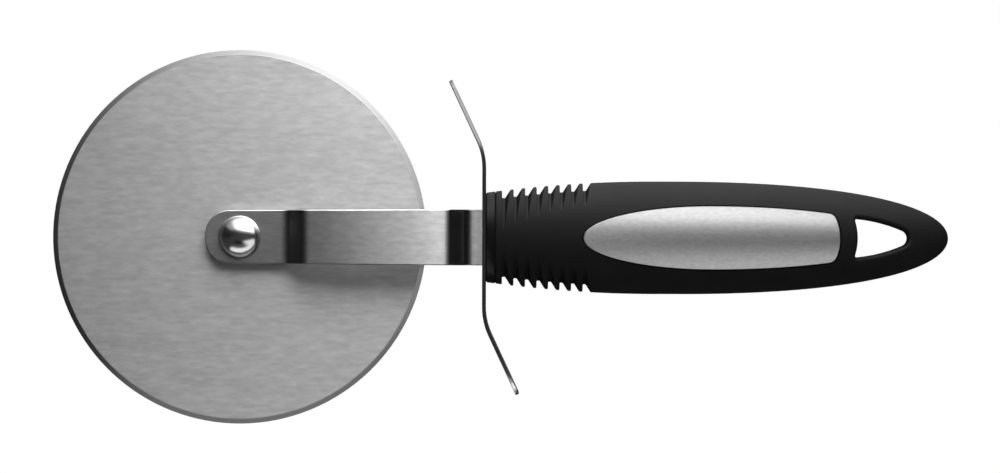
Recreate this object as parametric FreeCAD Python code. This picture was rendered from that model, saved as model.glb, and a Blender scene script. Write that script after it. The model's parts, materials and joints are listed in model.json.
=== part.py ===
import FreeCAD, Part
import math
import os

V = FreeCAD.Vector

# Cutting wheel
wheel_diameter = 100.0
wheel_thickness = 1.0
bevel_width = 1.3            # ground edge, along the radius
edge_land = 0.2              # flat left at the rim

# Axle
axle_diameter = 5.0
axle_running_fit = 0.05      # radial, wheel on axle
axle_seat_fit = 0.02         # radial, pieces that stay still on the axle
side_play = 0.1              # between the wheel and each washer
dome_diameter = 11.3
dome_height = 3.6
dome_rim = 0.25              # straight side under the dome
cap_diameter = 9.5
cap_height = 2.6
cap_bore_depth = 1.4
washer_diameter = 11.0
washer_thickness = 0.5

# Arm
arm_thickness = 1.8
arm_reach = 64.9             # axle to guard
arm_overhang = 9.1           # axle to the arm's free end
arm_tip_width = 14.2
arm_root_width = 15.0
arm_tip_radius = 6.4
arm_rise = 6.1               # tang plane to raised run
arm_crown = 1.5              # bow of the raised run
tip_step_angle = 40.0
tip_step_from_axle = 15.3
root_step_angle = 50.0
root_step_from_guard = 6.7
step_foot_radius = 5.0       # bend below each step, at mid thickness
step_top_radius = 3.6        # bend above each step
arm_edge_radius = 0.25
tang_width = 10.0
tang_length = 62.0           # behind the guard
tang_corner_radius = 2.0

# Finger guard
guard_thickness = 1.0
guard_depth = 22.0
guard_height = 83.6
guard_flat_height = 37.0
guard_wing_angle = 25.0
guard_bend_radius = 18.0     # at mid thickness
guard_corner_radius = 3.5
guard_edge_radius = 0.2
tang_fit = 0.1               # gap around the tang in every slot

# Handle outside
handle_length = 123.7
handle_front_height = 24.0
handle_crest_height = 30.15
handle_crest_depth = 20.0
crest_start = 45.0           # from the handle's front
crest_end = 51.9
tail_fullness = 0.61         # share of the tail's reach and height, 0.55 would be an ellipse

# Front collar
collar_length = 2.5
seam_width = 0.5
seam_depth = 0.3

# Finger ribs
groove_count = 8
groove_pitch = 3.08
groove_first = 4.3           # from the handle's front
groove_depth = 2.0
groove_mouth = 1.9
groove_floor = 0.8
groove_lip_radius = 0.5
groove_root_radius = 0.25
groove_fade_first = 1.01     # groove floor depth over handle depth, so the ribs run out on the faces
groove_fade_last = 1.105

# Inlays
inlay_start = 25.9           # from the handle's front
inlay_hole_gap = 4.7         # grip between an inlay and the hanging hole
inlay_height = 16.9          # at the crest, half way along
inlay_end_height = 12.8      # where the sides meet the rounded end
inlay_end_radius = 14.0
inlay_corner_radius = 2.6
inlay_thickness = 1.0
inlay_proud = 0.25
inlay_edge_radius = 0.35
inlay_gap = 0.3              # shadow line in the grip
bond_gap = 0.1               # under the inlays and around the core

# Hanging hole
hole_tail = 10.8             # grip behind the hole
hole_length = 13.8           # at mid height
hole_height = 10.4
hole_front_radius = 16.0
hole_tip_radius = 2.2
hole_tip_angle = 65.0        # where the sides meet the tip
hole_side_bulge = 0.6
hole_corner_radius = 0.5
hole_edge_radius = 0.9
hole_lining = 1.6            # grip between the hole and the core

# Core
grip_wall_height = 3.4       # grip over the core, top and bottom
grip_wall_depth = 2.0        # grip over the core, front and back
core_tail_gap = 5.0          # grip beyond the core's tail

# Tang rivets
tang_rivet_places = (43.0, 57.0)   # from the handle's front
tang_rivet_diameter = 3.0
tang_rivet_head = 5.5
tang_rivet_head_height = 1.5
tang_rivet_recess = 0.3      # head below the inlay
tang_rivet_fit = 0.05

# Stations along X, with the origin in the middle of the handle
handle_x = -handle_length / 2
tail_x = handle_length / 2
guard_x = handle_x - guard_thickness
axle_x = guard_x - arm_reach
collar_x = handle_x + collar_length
tang_end_x = guard_x + tang_length
hole_end_x = tail_x - hole_tail
hole_start_x = hole_end_x - hole_length
inlay_start_x = handle_x + inlay_start
inlay_end_x = hole_start_x - inlay_hole_gap

# Stations along Y, with the wheel in the middle of the handle
wheel_side = wheel_thickness / 2
washer_near = wheel_side + side_play
washer_far = washer_near + washer_thickness
arm_tip_y = -washer_far - arm_thickness / 2
arm_face_y = -washer_far - arm_thickness
inlay_sink = inlay_thickness + bond_gap - inlay_proud

handle_flatness = handle_crest_depth / handle_crest_height
far = 60.0                   # reach of cutting shapes past the part
seam_turn = 20.0             # keeps the seam of turned surfaces off the middle planes
tiny = 0.01                  # tolerance when edges are picked


def rounded_edges(points, radii):
    edges = []
    start = points[0]
    for before, corner, after, radius in zip(points, points[1:], points[2:], radii):
        if radius <= 0:
            edges.append(Part.makeLine(start, corner))
            start = corner
            continue
        back = (before - corner).normalize()
        ahead = (after - corner).normalize()
        half_angle = back.getAngle(ahead) / 2
        enter = corner + back * (radius / math.tan(half_angle))
        leave = corner + ahead * (radius / math.tan(half_angle))
        crown = corner + (back + ahead).normalize() * (radius / math.sin(half_angle) - radius)
        edges.append(Part.makeLine(start, enter))
        edges.append(Part.Arc(enter, crown, leave).toShape())
        start = leave
    edges.append(Part.makeLine(start, points[-1]))
    return edges


def offset_points(points, normal, distance):
    sides = [normal.cross(b - a).normalize() for a, b in zip(points, points[1:])]
    shifted = [points[0] + sides[0] * distance]
    for corner, side, next_side in zip(points[1:], sides, sides[1:]):
        shifted.append(corner + (side + next_side) * (distance / (1 + side.dot(next_side))))
    shifted.append(points[-1] + sides[-1] * distance)
    return shifted


def bent_strip(points, radii, normal, thickness):
    half = thickness / 2
    runs = [b - a for a, b in zip(points, points[1:])]
    turns = [math.copysign(half, normal.dot(a.cross(b))) for a, b in zip(runs, runs[1:])]
    left = offset_points(points, normal, half)
    right = offset_points(points, normal, -half)[::-1]
    edges = rounded_edges(left, [radius - turn for radius, turn in zip(radii, turns)])
    edges.append(Part.makeLine(left[-1], right[0]))
    edges += rounded_edges(right, [radius + turn for radius, turn in zip(radii, turns)][::-1])
    edges.append(Part.makeLine(right[-1], left[0]))
    return Part.Face(Part.Wire(edges))


def closed_outline(points):
    return [Part.makeLine(a, b) for a, b in zip(points, points[1:] + points[:1])]


def turned_on_axle(edges):
    return Part.Face(Part.Wire(edges)).revolve(V(axle_x, 0, 0), V(0, 1, 0), 360)


def bar_along_y(x, diameter, y_start, y_end):
    return Part.makeCylinder(diameter / 2, y_end - y_start, V(x, y_start, 0), V(0, 1, 0))


def cutting_wheel():
    rim = wheel_diameter / 2
    bore = axle_diameter / 2 + axle_running_fit
    outline = [(bore, -wheel_side), (rim - bevel_width, -wheel_side), (rim, -edge_land / 2)]
    outline += [(radius, -y) for radius, y in outline[::-1]]
    return turned_on_axle(closed_outline([V(axle_x + radius, y, 0) for radius, y in outline]))


def washer(y_start, y_end):
    blank = bar_along_y(axle_x, washer_diameter, y_start, y_end)
    return blank.cut(bar_along_y(axle_x, axle_diameter + 2 * axle_seat_fit, -far, far))


def domed_head(base_y, diameter, height, outward):
    radius = diameter / 2
    rise = height - dome_rim
    ball = (radius ** 2 + rise ** 2) / (2 * rise)
    lean = math.asin(radius / ball) / 2
    crown = V(axle_x, base_y + outward * height, 0)
    middle = crown + V(ball * math.sin(lean), -outward * ball * (1 - math.cos(lean)), 0)
    shoulder = V(axle_x + radius, base_y + outward * dome_rim, 0)
    foot = V(axle_x + radius, base_y, 0)
    centre = V(axle_x, base_y, 0)
    edges = [
        Part.Arc(crown, middle, shoulder).toShape(),
        Part.makeLine(shoulder, foot),
        Part.makeLine(foot, centre),
        Part.makeLine(centre, crown),
    ]
    return turned_on_axle(edges)


def axle_rivet():
    head = domed_head(arm_face_y, dome_diameter, dome_height, -1)
    shank = bar_along_y(axle_x, axle_diameter, arm_face_y, washer_far + cap_bore_depth)
    return head.fuse(shank).removeSplitter()


def rivet_cap():
    head = domed_head(washer_far, cap_diameter, cap_height, 1)
    return head.cut(bar_along_y(axle_x, axle_diameter + 2 * axle_seat_fit, 0, washer_far + cap_bore_depth))


def arm_plan():
    tip_x = axle_x - arm_overhang
    upper = [
        (tip_x, arm_tip_width / 2),
        (guard_x, arm_root_width / 2),
        (guard_x, tang_width / 2),
        (tang_end_x, tang_width / 2),
    ]
    lower = [(x, -z) for x, z in upper[::-1]]
    start = V(tip_x, -far, 0)
    points = [start] + [V(x, -far, z) for x, z in upper + lower] + [start]
    radii = [arm_tip_radius, 0, 0, tang_corner_radius]
    return Part.Face(Part.Wire(rounded_edges(points, radii + radii[::-1]))).extrude(V(0, 2 * far, 0))


def arm_strip():
    root_step_x = guard_x - root_step_from_guard
    tip_step_x = axle_x + tip_step_from_axle
    root_run = arm_rise / math.tan(math.radians(root_step_angle)) / 2
    tip_run = (arm_rise + arm_tip_y) / math.tan(math.radians(tip_step_angle)) / 2
    raised_start = tip_step_x + tip_run
    raised_end = root_step_x - root_run
    raised_half = (raised_end - raised_start) / 2
    points = [
        V(axle_x - arm_overhang, arm_tip_y, -far),
        V(tip_step_x - tip_run, arm_tip_y, -far),
        V(raised_start, -arm_rise, -far),
        V(raised_start + raised_half, -arm_rise - arm_crown, -far),
        V(raised_end, -arm_rise, -far),
        V(root_step_x + root_run, 0, -far),
        V(tang_end_x, 0, -far),
    ]
    crown_radius = (raised_half - step_top_radius) * raised_half / arm_crown
    bends = [step_foot_radius, step_top_radius, crown_radius, step_top_radius, step_foot_radius]
    return bent_strip(points, bends, V(0, 0, 1), arm_thickness).extrude(V(0, 0, 2 * far))


def arm_rim(arm):
    rim = []
    for edge in arm.Edges:
        box = edge.BoundBox
        across = box.ZLength > arm_tip_width / 2
        through = box.XLength + box.ZLength < tiny
        if edge.CenterOfMass.x < guard_x - tiny and not across and not through:
            rim.append(edge)
    return rim


def wheel_arm():
    arm = arm_strip().common(arm_plan())
    arm = arm.makeFillet(arm_edge_radius, arm_rim(arm))
    arm = arm.cut(bar_along_y(axle_x, axle_diameter + 2 * axle_seat_fit, -far, far))
    for place in tang_rivet_places:
        arm = arm.cut(bar_along_y(handle_x + place, tang_rivet_diameter + 2 * tang_rivet_fit, -far, far))
    return arm


def tang_slot():
    height = tang_width + 2 * tang_fit
    depth = arm_thickness + 2 * tang_fit
    corner = V(guard_x - far, -depth / 2, -height / 2)
    return Part.makeBox(tang_end_x + tang_fit - corner.x, depth, height, corner)


def guard_strip():
    angle = math.radians(guard_wing_angle)
    middle_x = guard_x + guard_thickness / 2
    bend_z = guard_flat_height / 2 + guard_bend_radius * math.tan(angle / 2)
    tip_z = guard_height / 2
    sweep = (tip_z - bend_z) * math.tan(angle)
    points = [
        V(middle_x + sweep, -guard_depth / 2, -tip_z),
        V(middle_x, -guard_depth / 2, -bend_z),
        V(middle_x, -guard_depth / 2, bend_z),
        V(middle_x - sweep, -guard_depth / 2, tip_z),
    ]
    bends = [guard_bend_radius, guard_bend_radius]
    return bent_strip(points, bends, V(0, 1, 0), guard_thickness).extrude(V(0, guard_depth, 0))


def guard_corners(plate):
    return [edge for edge in plate.Edges if edge.Length < guard_thickness + tiny]


def guard_rim(plate):
    tip_z = guard_height / 2 - guard_thickness
    rim = []
    for edge in plate.Edges:
        bend_line = abs(edge.CenterOfMass.y) < tiny and abs(edge.CenterOfMass.z) < tip_z
        if not bend_line and edge.Length > guard_thickness + tiny:
            rim.append(edge)
    return rim


def finger_guard():
    plate = guard_strip()
    plate = plate.makeFillet(guard_corner_radius, guard_corners(plate))
    plate = plate.makeFillet(guard_edge_radius, guard_rim(plate))
    return plate.cut(tang_slot())


def turned_and_flattened(edges, ratio):
    face = Part.Face(Part.Wire(edges))
    face.rotate(V(0, 0, 0), V(1, 0, 0), seam_turn)
    flatten = FreeCAD.Matrix()
    flatten.scale(1, ratio, 1)
    return face.revolve(V(0, 0, 0), V(1, 0, 0), 360).transformGeometry(flatten)


def swell_radius(front_half, crest_half):
    drop = crest_half - front_half
    return (crest_start ** 2 + drop ** 2) / (2 * drop)


def spindle(front_half, crest_half, depth_half, end_x):
    radius = swell_radius(front_half, crest_half)
    middle = crest_start / 2
    front = V(handle_x, 0, front_half)
    swell = V(handle_x + middle, 0, crest_half - radius + math.sqrt(radius ** 2 - middle ** 2))
    shoulder = V(handle_x + crest_start, 0, crest_half)
    haunch = V(handle_x + crest_end, 0, crest_half)
    tail = V(end_x, 0, 0)
    above_tail = V(end_x, 0, crest_half)
    tail_curve = Part.BezierCurve()
    tail_curve.setPoles([
        haunch,
        haunch + (above_tail - haunch) * tail_fullness,
        tail + (above_tail - tail) * tail_fullness,
        tail,
    ])
    edges = [
        Part.makeLine(V(handle_x, 0, 0), front),
        Part.Arc(front, swell, shoulder).toShape(),
        Part.makeLine(shoulder, haunch),
        tail_curve.toShape(),
        Part.makeLine(tail, V(handle_x, 0, 0)),
    ]
    return turned_and_flattened(edges, depth_half / crest_half)


def handle_form(grow):
    front_half = handle_front_height / 2 + grow
    crest_half = handle_crest_height / 2 + grow
    return spindle(front_half, crest_half, handle_crest_depth / 2 + grow, tail_x + grow)


def core_form(grow):
    front_half = handle_front_height / 2 - grip_wall_height + grow
    crest_half = handle_crest_height / 2 - grip_wall_height + grow
    depth_half = handle_crest_depth / 2 - grip_wall_depth + grow
    return spindle(front_half, crest_half, depth_half, tail_x - core_tail_gap + grow)


def handle_half_height(from_front):
    radius = swell_radius(handle_front_height / 2, handle_crest_height / 2)
    before_crest = max(crest_start - from_front, 0)
    return handle_crest_height / 2 - radius + math.sqrt(radius ** 2 - before_crest ** 2)


def behind_collar():
    return Part.makeBox(handle_length, 2 * far, 2 * far, V(collar_x, -far, -far))


def seam_ring(from_front):
    x = handle_x + from_front
    half_height = handle_half_height(from_front)
    points = [
        V(x - seam_width, 0, half_height + seam_depth),
        V(x, 0, half_height - seam_depth),
        V(x + seam_width, 0, half_height + seam_depth),
    ]
    return turned_and_flattened(closed_outline(points), handle_flatness)


def groove_ring(index):
    from_front = groove_first + index * groove_pitch
    x = handle_x + from_front
    half_height = handle_half_height(from_front)
    lip_z = half_height - groove_lip_radius / 2
    floor_z = half_height - groove_depth
    flare = groove_mouth / 2
    points = [
        V(x - flare, 0, 2 * half_height),
        V(x - flare, 0, half_height + flare),
        V(x, 0, lip_z),
        V(x, 0, floor_z),
        V(x + groove_floor, 0, floor_z),
        V(x + groove_mouth, 0, lip_z),
        V(x + groove_mouth + flare, 0, half_height + flare),
        V(x + groove_mouth + flare, 0, 2 * half_height),
    ]
    radii = [0, groove_lip_radius, groove_root_radius, groove_root_radius, groove_lip_radius, 0]
    edges = rounded_edges(points, radii) + [Part.makeLine(points[-1], points[0])]
    along = index / (groove_count - 1)
    fade = groove_fade_first + (groove_fade_last - groove_fade_first) * along
    return turned_and_flattened(edges, handle_flatness * half_height / floor_z * fade)


def half_ellipse(centre_x, reach, half_height):
    centre = V(centre_x, 0, 0)
    top = centre + V(0, 0, half_height)
    bottom = centre - V(0, 0, half_height)
    ellipse = Part.Ellipse(centre + V(reach, 0, 0), top, centre)
    arc = Part.ArcOfEllipse(ellipse, -math.pi / 2, math.pi / 2).toShape()
    return Part.Face(Part.Wire([arc, Part.makeLine(top, bottom)]))


def upright_edges(prism, x_from, x_to):
    edges = []
    for edge in prism.Edges:
        box = edge.BoundBox
        if box.YLength > far / 2 and box.XLength < tiny and x_from < box.XMin < x_to:
            edges.append(edge)
    return edges


def inlay_prism(grow, side):
    out = V(0, side * far, 0)
    crest_x = (inlay_start_x + inlay_end_x) / 2
    round_x = inlay_end_x - inlay_end_radius
    corner_x = round_x + math.sqrt(inlay_end_radius ** 2 - (inlay_end_height / 2) ** 2)
    rear_reach = (corner_x - crest_x) / math.sqrt(1 - (inlay_end_height / inlay_height) ** 2)
    half_height = inlay_height / 2 + grow
    nose = half_ellipse(crest_x, inlay_start_x - crest_x - grow, half_height).extrude(out)
    flank = half_ellipse(crest_x, rear_reach + grow, half_height).extrude(out)
    end_disc = bar_along_y(round_x, 2 * (inlay_end_radius + grow), -far, far)
    beyond_end = Part.makeBox(far, 2 * far, 2 * far, V(round_x, -far, -far)).cut(end_disc)
    prism = nose.fuse(flank).cut(beyond_end).removeSplitter()
    return prism.makeFillet(inlay_corner_radius + grow, upright_edges(prism, round_x, tail_x))


def hole_prism(grow):
    half_height = hole_height / 2 + grow
    start = V(hole_start_x - grow, -far, 0)
    sagitta = hole_front_radius - math.sqrt(hole_front_radius ** 2 - half_height ** 2)
    corner = start + V(-sagitta, 0, half_height)
    tip_centre = V(hole_end_x - hole_tip_radius, -far, 0)
    tip_angle = math.radians(hole_tip_angle)
    tip_radius = hole_tip_radius + grow
    meet = tip_centre + V(math.cos(tip_angle), 0, math.sin(tip_angle)) * tip_radius
    side = meet - corner
    swell = corner + side * 0.5 + V(-side.z, 0, side.x).normalize() * hole_side_bulge
    mirror = FreeCAD.Matrix()
    mirror.scale(1, 1, -1)
    edges = [
        Part.Arc(mirror * corner, start, corner).toShape(),
        Part.Arc(corner, swell, meet).toShape(),
        Part.Arc(meet, tip_centre + V(tip_radius, 0, 0), mirror * meet).toShape(),
        Part.Arc(mirror * meet, mirror * swell, mirror * corner).toShape(),
    ]
    prism = Part.Face(Part.Wire(edges)).extrude(V(0, 2 * far, 0))
    return prism.makeFillet(hole_corner_radius + grow, upright_edges(prism, handle_x, start.x))


def front_collar():
    collar = handle_form(0).cut(behind_collar()).cut(tang_slot())
    return collar.cut(seam_ring(0)).cut(seam_ring(collar_length))


def hole_rim(body):
    hole = hole_prism(hole_corner_radius).BoundBox
    rim = []
    for edge in body.Edges:
        centre = edge.CenterOfMass
        at_hole = hole.XMin < centre.x < hole.XMax and hole.ZMin < centre.z < hole.ZMax
        if at_hole and abs(centre.y) > hole_edge_radius:
            rim.append(edge)
    return rim


def soft_grip():
    grip = handle_form(0).common(behind_collar()).cut(hole_prism(0))
    grip = grip.makeFillet(hole_edge_radius, hole_rim(grip))
    grip = grip.cut(core_form(bond_gap).cut(hole_prism(hole_lining)))
    grip = grip.cut(seam_ring(collar_length))
    for index in range(groove_count):
        grip = grip.cut(groove_ring(index))
    for side in (-1, 1):
        grip = grip.cut(inlay_prism(inlay_gap, side))
    return grip


def rivet_head_top(place):
    return handle_half_height(place) * handle_flatness - inlay_sink - tang_rivet_recess


def tang_rivet(place):
    x = handle_x + place
    top = rivet_head_top(place)
    shank = bar_along_y(x, tang_rivet_diameter, -top, top)
    front_head = bar_along_y(x, tang_rivet_head, -top, tang_rivet_head_height - top)
    back_head = bar_along_y(x, tang_rivet_head, top - tang_rivet_head_height, top)
    return shank.fuse([front_head, back_head]).removeSplitter()


def tang_rivet_space(place):
    x = handle_x + place
    seat = rivet_head_top(place) - tang_rivet_head_height
    space = bar_along_y(x, tang_rivet_diameter + 2 * tang_rivet_fit, -far, far)
    front_pocket = bar_along_y(x, tang_rivet_head + 2 * tang_rivet_fit, -far, -seat)
    back_pocket = bar_along_y(x, tang_rivet_head + 2 * tang_rivet_fit, seat, far)
    return space.fuse([front_pocket, back_pocket])


def core():
    form = core_form(0).common(behind_collar())
    boss_form = handle_form(-inlay_sink)
    for side in (-1, 1):
        form = form.fuse(boss_form.common(inlay_prism(0, side)))
    form = form.cut(hole_prism(hole_lining + bond_gap)).cut(tang_slot())
    for place in tang_rivet_places:
        form = form.cut(tang_rivet_space(place))
    return form


def core_halves():
    form = core()
    back_space = Part.makeBox(handle_length, far, 2 * far, V(handle_x, 0, -far))
    return form.cut(back_space), form.common(back_space)


def inlay(side):
    outside = handle_form(inlay_proud)
    plate = outside.cut(handle_form(inlay_proud - inlay_thickness)).common(inlay_prism(0, side))
    rim = []
    for edge in plate.Edges:
        middle = edge.valueAt(sum(edge.ParameterRange) / 2) + V(0, side * inlay_edge_radius, 0)
        if edge.BoundBox.XLength > tiny and not outside.isInside(middle, tiny, True):
            rim.append(edge)
    return plate.makeFillet(inlay_edge_radius, rim)


core_front, core_back = core_halves()
nodes = {
    "cutting_wheel": cutting_wheel(),
    "front_washer": washer(-washer_far, -washer_near),
    "rear_washer": washer(washer_near, washer_far),
    "axle_rivet": axle_rivet(),
    "rivet_cap": rivet_cap(),
    "wheel_arm": wheel_arm(),
    "finger_guard": finger_guard(),
    "front_collar": front_collar(),
    "core_front": core_front,
    "core_back": core_back,
    "tang_rivets": Part.makeCompound([tang_rivet(place) for place in tang_rivet_places]),
    "soft_grip": soft_grip(),
    "front_inlay": inlay(-1),
    "rear_inlay": inlay(1),
}

os.makedirs("parts", exist_ok=True)
for name, shape in nodes.items():
    shape.exportStep("parts/" + name + ".step")
    print(name, shape.isValid(), len(shape.Solids), round(shape.Volume, 1))
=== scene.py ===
import json
import math

import bpy
from mathutils import Matrix, Vector

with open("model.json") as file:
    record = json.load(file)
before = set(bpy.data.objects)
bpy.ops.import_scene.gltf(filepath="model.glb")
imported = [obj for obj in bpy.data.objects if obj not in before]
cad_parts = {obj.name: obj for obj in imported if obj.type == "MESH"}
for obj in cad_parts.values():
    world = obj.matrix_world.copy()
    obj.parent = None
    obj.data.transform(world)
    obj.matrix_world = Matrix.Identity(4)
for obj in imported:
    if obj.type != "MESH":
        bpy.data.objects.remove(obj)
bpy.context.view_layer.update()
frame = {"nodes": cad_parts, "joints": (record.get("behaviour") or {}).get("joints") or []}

cadNodes = frame["nodes"]
wheelPivot = frame["joints"][0]["pos_m"]
print("frame loaded,", len(cadNodes), "nodes")


class Wire:  # a shader socket that joins in Python maths
    def __init__(self, sheet, socket):
        self.sheet = sheet
        self.socket = socket

    def __add__(self, other):
        return self.sheet.maths("ADD", self, other)

    def __sub__(self, other):
        return self.sheet.maths("SUBTRACT", self, other)

    def __rsub__(self, other):
        return self.sheet.maths("SUBTRACT", other, self)

    def __mul__(self, other):
        return self.sheet.maths("MULTIPLY", self, other)

    def __pow__(self, other):
        return self.sheet.maths("POWER", self, other)

    def __rpow__(self, other):
        return self.sheet.maths("POWER", other, self)

    __radd__ = __add__
    __rmul__ = __mul__


class NodeSheet:  # adds nodes to one shader tree
    def __init__(self, tree):
        self.tree = tree

    def node(self, kind, settings=None, inputs=None, out=0):
        made = self.tree.nodes.new("ShaderNode" + kind)
        for name, value in (settings or {}).items():
            setattr(made, name, value)
        for name, value in (inputs or {}).items():
            self.plug(made.inputs[name], value)
        return Wire(self, made.outputs[out])

    def plug(self, socket, value):
        if isinstance(value, Wire):
            self.tree.links.new(value.socket, socket)
        else:
            socket.default_value = value

    def maths(self, operation, *values):
        return self.node("Math", {"operation": operation}, dict(enumerate(values)))

    def place(self):
        return self.node("TexCoord", out="Object")

    def axis(self, vector, letter):
        return self.node("SeparateXYZ", inputs={0: vector}, out=letter)

    def noise(self, vector, scale, detail):  # about 0, up to half a unit either way
        flecks = self.node("TexNoise", inputs={"Vector": vector, "Scale": scale, "Detail": detail})
        return flecks - 0.5

    def streaks(self, vector, scales, along, detail):  # noise drawn out along one axis
        acrossScale, alongScale = scales
        scale = [acrossScale] * 3
        scale["XYZ".index(along)] = alongScale
        drawnOut = self.node("Mapping", inputs={"Vector": vector, "Scale": scale})
        return self.noise(drawnOut, 1.0, detail)

    def between(self, value, low, high):  # eased 0 to 1 from low to high
        inputs = {"Value": value, "From Min": low, "From Max": high}
        return self.node("MapRange", {"interpolation_type": "SMOOTHSTEP"}, inputs)

    def grey(self, level):
        return self.node("CombineColor", inputs={"Red": level, "Green": level, "Blue": level})

    def bump(self, height, strength, depth):
        return self.node("Bump", inputs={"Height": height, "Strength": strength, "Distance": depth})

    def seen(self):  # 1 on rays that show a surface, 0 on rays that only light others
        camera, glossy, through = [self.node("LightPath", out=f"Is {kind} Ray")
                                   for kind in ("Camera", "Glossy", "Transmission")]
        return self.maths("MINIMUM", camera + glossy + through, 1.0)

    def glow(self, level):
        return self.node("Emission", inputs={"Color": self.grey(level)})

    def surface(self, shader):
        self.plug(self.tree.nodes["Material Output"].inputs["Surface"], shader)


def fade(start, stop, share):  # start where share is 0, stop where it is 1
    return start + share * (stop - start)


def newMaterial(name):
    material = bpy.data.materials.new(name)
    material.use_nodes = True
    return material, NodeSheet(material.node_tree)


def newFinish(name, **constants):
    material, sheet = newMaterial(name)
    skin = material.node_tree.nodes["Principled BSDF"]
    for socket, value in constants.items():
        skin.inputs[socket.replace("_", " ")].default_value = value
    return material, sheet, skin


def newPlane(name, size, middle, turn=(0, 0, 0)):  # turn in degrees
    bpy.ops.object.select_all(action="DESELECT")
    bpy.ops.mesh.primitive_plane_add(size=1.0)
    plane = bpy.context.object
    plane.name = name
    plane.scale = (*size, 1.0)
    plane.rotation_euler = [math.radians(angle) for angle in turn]
    plane.location = middle
    bpy.ops.object.transform_apply(location=True, rotation=True, scale=True)
    return plane


# Camera
shot = {
    "aim": (-0.0581, 0.0, 0.00026),  # middle of the picture
    "width": 0.26774,  # metres across the picture at the tool
    "lens": 200.0, "sensor": 36.0,  # millimetres
    "roll": 0.135,  # degrees
}


def makeCamera():
    lens = bpy.data.cameras.new("camera")
    lens.lens = shot["lens"]
    lens.sensor_width = shot["sensor"]
    camera = bpy.data.objects.new("camera", lens)
    bpy.context.scene.collection.objects.link(camera)
    distance = shot["width"] * shot["lens"] / shot["sensor"]
    aimX, aimY, aimZ = shot["aim"]
    level = Matrix.Rotation(math.pi / 2, 4, "X")
    roll = Matrix.Rotation(math.radians(shot["roll"]), 4, "Z")
    camera.matrix_world = Matrix.Translation((aimX, aimY - distance, aimZ)) @ level @ roll
    bpy.context.scene.camera = camera
    print("camera stands", round(distance, 3), "m away")


# Studio
surround = {
    "fill": 0.62,  # light from all round, the backdrop itself shows as 1
}


def makeWorld():
    world = bpy.data.worlds.new("studio")
    world.use_nodes = True
    bpy.context.scene.world = world
    sheet = NodeSheet(world.node_tree)
    level = fade(surround["fill"], 1.0, sheet.seen())
    sheet.plug(world.node_tree.nodes["Background"].inputs["Color"], sheet.grey(level))
    print("world made")


floorLook = {
    "height": -0.075, "side": 3.0,
    "tone": 0.9, "rough": 0.9,
    "glow": 0.86,  # share of plain white under the tool, the rest takes the shadow
    "fade": (0.14, 0.26),  # distances from the origin between which the floor turns plain white
}


def floorFinish():
    material, sheet, skin = newFinish("studioFloor", Roughness=floorLook["rough"])
    sheet.plug(skin.inputs["Base Color"], sheet.grey(floorLook["tone"]))
    away = sheet.node("VectorMath", {"operation": "LENGTH"}, {0: sheet.place()}, out="Value")
    white = fade(floorLook["glow"], 1.0, sheet.between(away, *floorLook["fade"]))
    lit = Wire(sheet, skin.outputs["BSDF"])
    sheet.surface(sheet.node("MixShader", inputs={0: sheet.seen() * white, 1: lit, 2: sheet.glow(1.0)}))
    return material


def makeFloor():
    floor = newPlane("floor", (floorLook["side"], floorLook["side"]), (0, 0, floorLook["height"]))
    floor.data.materials.append(floorFinish())
    print("floor laid")


inlays = ("front_inlay", "rear_inlay")
softBoxLook = {
    "place": (0.075, -0.065), "size": (0.85, 0.71),
    "rise": (0.09, 0.407),  # shares of its length where it brightens from the left
    "leftLeast": 0.06, "frontLeast": 0.04,  # what is left at its dim ends
}
# The softbox hangs in layers: one lights everything, the others only show in some of the steel.
# Front and back are shares of its depth where it brightens and dims, right of its length where it dims.
layers = {
    "softBox": {
        "height": 0.170, "power": 4.3,
        "nodes": (),
        "front": (0.18, 0.40), "back": (0.38, 0.90), "backDrop": 0.7,
        "right": (0.40, 0.66), "rightDrop": 0.9,
    },
    "sheenBox": {
        "height": 0.172, "power": 9.5,
        "nodes": ("wheel_arm", "axle_rivet", "rivet_cap", "cutting_wheel"),
        "front": (0.14, 0.36), "back": (0.38, 0.90), "backDrop": 0.7,
        "right": (0.42, 0.79), "rightDrop": 0.7,
    },
    "inlayBox": {
        "height": 0.174, "power": 11.5,
        "nodes": inlays,
        "front": (0.0, 0.10), "back": (0.14, 0.36), "backDrop": 0.94,
        "right": (0.42, 0.79), "rightDrop": 0.7,
    },
}
glints = {  # lamps that only show in a few nodes, as bright there as their tone
    "rimLow": {
        "size": (0.15, 0.026), "place": (-0.110, -0.034, -0.0722), "aim": (-0.110, -0.034, 0.0),
        "tone": 1.1, "nodes": ("cutting_wheel",),
    },
    "rimRight": {
        "size": (0.16, 0.20), "place": (0.172, -0.37, 0.0), "aim": (-0.078, 0.0, 0.0),
        "tone": 2.4, "nodes": ("cutting_wheel",),
    },
    "guardTop": {
        "size": (0.04, 0.027), "place": (-0.067, -0.032, 0.0383), "aim": (-0.067, 0.0, 0.0383),
        "tone": 1.1, "nodes": ("finger_guard",),
    },
    "guardTip": {
        "size": (0.03, 0.034), "place": (-0.055, -0.032, -0.0553), "aim": (-0.055, 0.0, -0.0553),
        "tone": 1.1, "nodes": ("finger_guard",),
    },
    "guardUnder": {
        "size": (0.03, 0.034), "place": (-0.055, -0.007, -0.0722), "aim": (-0.055, -0.007, 0.0),
        "tone": 1.1, "nodes": ("finger_guard",),
    },
    "inlayEnd": {
        "size": (0.04, 0.08), "place": (-0.058, -0.10, 0.0), "aim": (-0.035, 0.0, 0.0),
        "tone": 0.6, "nodes": inlays,
    },
    "guardSide": {
        "size": (0.4, 0.18), "place": (0.28, 0.30, 0.085), "aim": (-0.06, 0.0, 0.085),
        "tone": 0.9, "nodes": ("finger_guard",),
    },
    "behind": {
        "size": (0.9, 0.22), "place": (-0.05, 0.45, 0.055), "aim": (-0.05, 0.0, 0.055),
        "tone": 1.2, "nodes": ("cutting_wheel", "rear_inlay", "rivet_cap"),
    },
}


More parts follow.
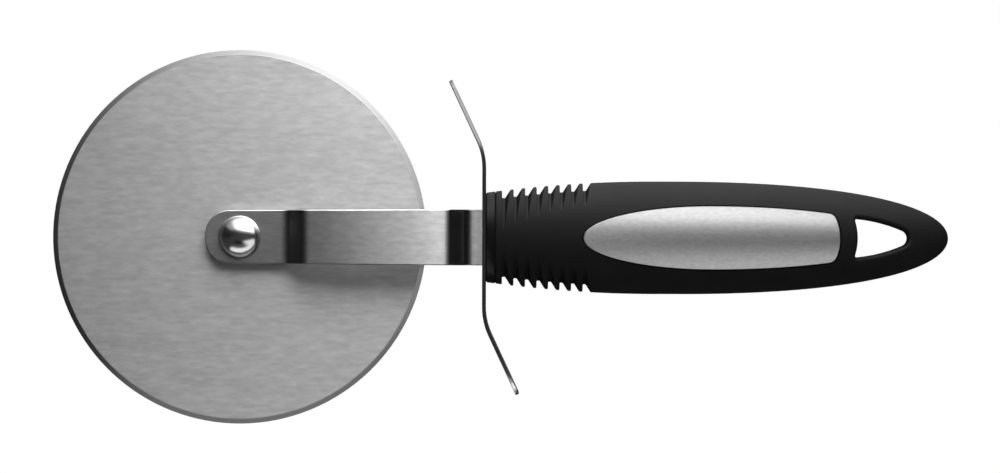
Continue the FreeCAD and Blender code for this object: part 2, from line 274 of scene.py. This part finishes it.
def areaLamp(name, size, place, power):
    light = bpy.data.lights.new(name, "AREA")
    light.shape = "RECTANGLE"
    light.size, light.size_y = size
    light.energy = power
    lamp = bpy.data.objects.new(name, light)
    bpy.context.scene.collection.objects.link(lamp)
    lamp.location = place
    lamp.visible_camera = False
    return lamp


def showOnlyIn(light, names):  # keeps a lamp or card to the reflections of a few nodes
    group = bpy.data.collections.new(light.name + "Nodes")
    for name in names:
        group.objects.link(cadNodes[name])
    light.light_linking.receiver_collection = group
    light.visible_diffuse = False


def gradeLamp(light, layer):  # dims the softbox towards its ends
    light.use_nodes = True
    sheet = NodeSheet(light.node_tree)
    spot = sheet.node("NewGeometry", out="Parametric")
    across = sheet.axis(spot, "X")
    deep = sheet.axis(spot, "Y")
    left = fade(softBoxLook["leftLeast"], 1.0, sheet.between(across, *softBoxLook["rise"]))
    right = 1 - layer["rightDrop"] * sheet.between(across, *layer["right"])
    front = fade(softBoxLook["frontLeast"], 1.0, sheet.between(deep, *layer["front"]))
    back = 1 - layer["backDrop"] * sheet.between(deep, *layer["back"])
    sheet.plug(light.node_tree.nodes["Emission"].inputs["Strength"], left * right * front * back)


def makeLamps():
    for name, layer in layers.items():
        place = (*softBoxLook["place"], layer["height"])
        lamp = areaLamp(name, softBoxLook["size"], place, layer["power"])
        gradeLamp(lamp.data, layer)
        if layer["nodes"]:
            showOnlyIn(lamp, layer["nodes"])
    for name, glint in glints.items():
        width, height = glint["size"]
        power = glint["tone"] * math.pi * width * height  # tone is power over pi and area
        lamp = areaLamp(name, glint["size"], glint["place"], power)
        towards = Vector(glint["aim"]) - Vector(glint["place"])
        lamp.rotation_euler = towards.to_track_quat("-Z", "Y").to_euler()
        showOnlyIn(lamp, glint["nodes"])
    print(len(layers) + len(glints), "lamps hung")


cards = {  # grey cards that only reflections see: size, middle, turn in degrees and tone
    "frontWall": ((3.2, 0.31), (0.0, -1.7, 0.075), (90, 0, 0), 0.06),
    "backWall": ((3.2, 0.31), (0.0, 1.6, 0.075), (90, 0, 0), 0.03),
    "leftWall": ((0.31, 3.3), (-1.6, -0.05, 0.075), (0, 90, 0), 0.012),
    "rightWall": ((0.31, 3.3), (1.6, -0.05, 0.075), (0, 90, 0), 0.012),
    "ceiling": ((3.2, 3.3), (0.0, -0.05, 0.18), (0, 0, 0), 0.02),
    "cloth": ((3.2, 3.3), (0.0, -0.05, -0.074), (0, 0, 0), 0.045),
}


def cardFinish(name, tone):
    material, sheet = newMaterial(name)
    sheet.surface(sheet.glow(tone))
    return material


bounce = {  # pale card under the tool
    "size": (0.485, 0.183), "middle": (0.0575, -0.1085, -0.073), "turn": (0, 0, 0),
    "nodes": inlays + ("axle_rivet", "rivet_cap", "finger_guard"),  # what reflects it
    "wheelTone": 0.07, "wheelFrom": (-0.125, -0.095),  # under the wheel, brighter towards the back
    "edgeTone": 1.35, "edgeFrom": (-0.062, -0.042),
    "inlayTone": 1.2, "inlayFrom": (-0.10, -0.02),  # under the handle
}


def bounceFinish():
    material, sheet = newMaterial("bounceCard")
    x = sheet.axis(sheet.place(), "X")
    y = sheet.axis(sheet.place(), "Y")
    underWheel = bounce["wheelTone"] * sheet.between(y, *bounce["wheelFrom"])
    brighter = (bounce["edgeTone"] - bounce["wheelTone"]) * sheet.between(y, *bounce["edgeFrom"])
    underHandle = sheet.between(x, *bounce["inlayFrom"])
    sheet.surface(sheet.glow(fade(underWheel + brighter, bounce["inlayTone"], underHandle)))
    return material


def hangCard(name, size, middle, turn, material):
    card = newPlane(name, size, middle, turn)
    card.data.materials.append(material)
    card.visible_camera = False
    card.visible_diffuse = False
    card.visible_shadow = False
    card.visible_transmission = False
    return card


def makeCards():
    for name, (size, middle, turn, tone) in cards.items():
        hangCard(name, size, middle, turn, cardFinish(name, tone))
    finish = bounceFinish()
    bounceCard = hangCard("bounceCard", bounce["size"], bounce["middle"], bounce["turn"], finish)
    showOnlyIn(bounceCard, bounce["nodes"])
    print(len(cards) + 1, "cards hung")


# Finishes
# streak, grain and cloud are shares of the tone, lie is how far brushed lines draw out a highlight
wheelLook = {
    "tone": 0.57, "streak": 0.26, "grain": 0.46, "grainScale": (950.0, 280.0), "cloud": 0.06,
    "rough": 0.60, "roughSpread": 0.12, "bump": 0.10, "lie": 0.55,
    "grindFrom": (0.0484, 0.0490),  # radii where the ground edge begins
    "grindTone": 0.29, "grindRough": 0.40,
}
armLook = {
    "tone": 0.66, "streak": 0.06, "grain": 0.50, "grainScale": (900.0, 300.0), "cloud": 0.04,
    "rough": 0.39, "roughSpread": 0.04, "bump": 0.02, "lie": 0.0,
    "dullFrom": (-0.113, -0.066), "dullBy": 0.35,  # from the worn tip to the duller root
    "rootLightFrom": (-0.086, -0.070), "rootLightTone": 0.90,  # painted highlight: where the root is painted paler, standing in for brighter light there
    "bendLean": (0.08, 0.6),  # how far the surface leans where the pressed bends begin
    # painted shade: the bends get a darker tone that stands in for the dark they reflect
    "bendShadeTone": 0.34, "bendRough": 0.22,
}
guardLook = {
    "tone": 0.38, "streak": 0.05, "grain": 0.05, "grainScale": (850.0, 240.0), "cloud": 0.04,
    "rough": 0.15, "roughSpread": 0.03, "bump": 0.02, "lie": 0.0,
}
inlayLook = {
    "tone": 0.37, "streak": 0.22, "grain": 0.42, "grainScale": (2000.0, 800.0), "cloud": 0.04,
    "rough": 0.42, "roughSpread": 0.03, "bump": 0.10, "lie": 0.0,
}
brush = {  # shared by the brushed metals, scales are across and along the brushed lines
    "fine": (4200.0, 90.0), "coarse": (1100.0, 32.0), "fineShare": 0.55,
    "cloudScale": 28.0, "depth": 0.00002, "lieTurn": 0.25,
}


def fromAxle(sheet, place):  # distance from the line that the wheel turns on
    x = sheet.axis(place, "X") - wheelPivot[0]
    z = sheet.axis(place, "Z") - wheelPivot[2]
    return (x ** 2 + z ** 2) ** 0.5


def coat(sheet, skin, tone, rough, normal):
    sheet.plug(skin.inputs["Base Color"], sheet.grey(tone))
    sheet.plug(skin.inputs["Roughness"], rough)
    sheet.plug(skin.inputs["Normal"], normal)


def brushedSteel(name, look, along):  # along is the axis of the brushed lines
    lie = {"Anisotropic": look["lie"], "Anisotropic_Rotation": brush["lieTurn"]}
    material, sheet, skin = newFinish(name, Metallic=1.0, **lie)
    place = sheet.place()
    fine = sheet.streaks(place, brush["fine"], along, detail=3.0)
    coarse = sheet.streaks(place, brush["coarse"], along, detail=2.0)
    grain = sheet.streaks(place, look["grainScale"], along, detail=2.0)
    cloud = sheet.noise(place, brush["cloudScale"], detail=3.0)
    streak = fade(coarse, fine, brush["fineShare"])
    wear = streak * look["streak"] + grain * look["grain"] + cloud * look["cloud"]
    tone = look["tone"] * (1 + wear)
    rough = look["rough"] + streak * look["roughSpread"]
    if "dullFrom" in look:
        x = sheet.axis(place, "X")
        rough = rough + look["dullBy"] * sheet.between(x, *look["dullFrom"])
        # painted highlight: the tone rises towards the root to stand in for the brighter light that
        # falls there
        tone = tone + (look["rootLightTone"] - look["tone"]) * sheet.between(x, *look["rootLightFrom"])
    if "bendLean" in look:
        lean = sheet.maths("ABSOLUTE", sheet.axis(sheet.node("TexCoord", out="Normal"), "X"))
        bent = sheet.between(lean, *look["bendLean"])
        # painted shade: darker where the bends lean, standing in for the dark they reflect
        tone = fade(tone, look["bendShadeTone"], bent)
        rough = fade(rough, look["bendRough"], bent)
    if "grindFrom" in look:
        ground = sheet.between(fromAxle(sheet, place), *look["grindFrom"])
        tone = fade(tone, look["grindTone"], ground)
        rough = fade(rough, look["grindRough"], ground)
    coat(sheet, skin, tone, rough, sheet.bump(fine, look["bump"], brush["depth"]))
    return material


domeLook = {
    "tone": 0.62, "rough": 0.20, "haze": 0.02, "hazeScale": 900.0,
    "tip": (0.00042, 0.00056),  # radii of the dome's middle, which is shaded flat
}


def polishedSteel():
    material, sheet, skin = newFinish("polishedSteel", Metallic=1.0)
    place = sheet.place()
    haze = domeLook["haze"] * sheet.noise(place, domeLook["hazeScale"], detail=4.0)
    flat = sheet.node("NewGeometry", out="True Normal")
    curved = sheet.node("NewGeometry", out="Normal")
    outer = sheet.between(fromAxle(sheet, place), *domeLook["tip"])
    # a Mix node's inputs 4 and 5 and output 1 carry vectors
    normal = sheet.node("Mix", {"data_type": "VECTOR"}, {0: outer, 4: flat, 5: curved}, out=1)
    coat(sheet, skin, domeLook["tone"] + haze, domeLook["rough"] + haze, normal)
    return material


plastics = {
    "nylon": {"tone": 0.62, "rough": 0.45, "grainScale": 2500.0},
    "hardPlastic": {"tone": 0.004, "rough": 0.42, "grainScale": 3500.0},
    "gripRubber": {"tone": 0.0058, "rough": 0.62, "grainScale": 4200.0},
}
mould = {  # shared by the plastics
    "cloudScale": 120.0, "cloudTone": 0.5, "cloudRough": 0.12,
    "grainRough": 0.1, "bump": 0.25, "depth": 0.00004,
}


def mouldedPlastic(name):
    look = plastics[name]
    material, sheet, skin = newFinish(name)
    place = sheet.place()
    grain = sheet.noise(place, look["grainScale"], detail=3.0)
    cloud = sheet.noise(place, mould["cloudScale"], detail=3.0)
    tone = look["tone"] * (1 + cloud * mould["cloudTone"])
    rough = look["rough"] + cloud * mould["cloudRough"] + grain * mould["grainRough"]
    coat(sheet, skin, tone, rough, sheet.bump(grain, mould["bump"], mould["depth"]))
    return material


def dressNodes():
    inlaySteel = brushedSteel("inlaySteel", inlayLook, "X")
    polished = polishedSteel()
    nylon = mouldedPlastic("nylon")
    hardPlastic = mouldedPlastic("hardPlastic")
    dressing = {
        "cutting_wheel": brushedSteel("wheelSteel", wheelLook, "X"),
        "front_washer": nylon,
        "rear_washer": nylon,
        "axle_rivet": polished,
        "rivet_cap": polished,
        "wheel_arm": brushedSteel("armSteel", armLook, "X"),
        "finger_guard": brushedSteel("guardSteel", guardLook, "Z"),
        "front_collar": hardPlastic,
        "core_front": hardPlastic,
        "core_back": hardPlastic,
        "tang_rivets": brushedSteel("rivetAluminium", guardLook, "Y"),
        "soft_grip": mouldedPlastic("gripRubber"),
        "front_inlay": inlaySteel,
        "rear_inlay": inlaySteel,
    }
    for name, material in dressing.items():
        cadNodes[name].data.materials.clear()
        cadNodes[name].data.materials.append(material)
    print(len(dressing), "nodes dressed")


bpy.context.scene.view_settings.view_transform = "Standard"
makeCamera()
makeWorld()
makeFloor()
makeLamps()
makeCards()
dressNodes()
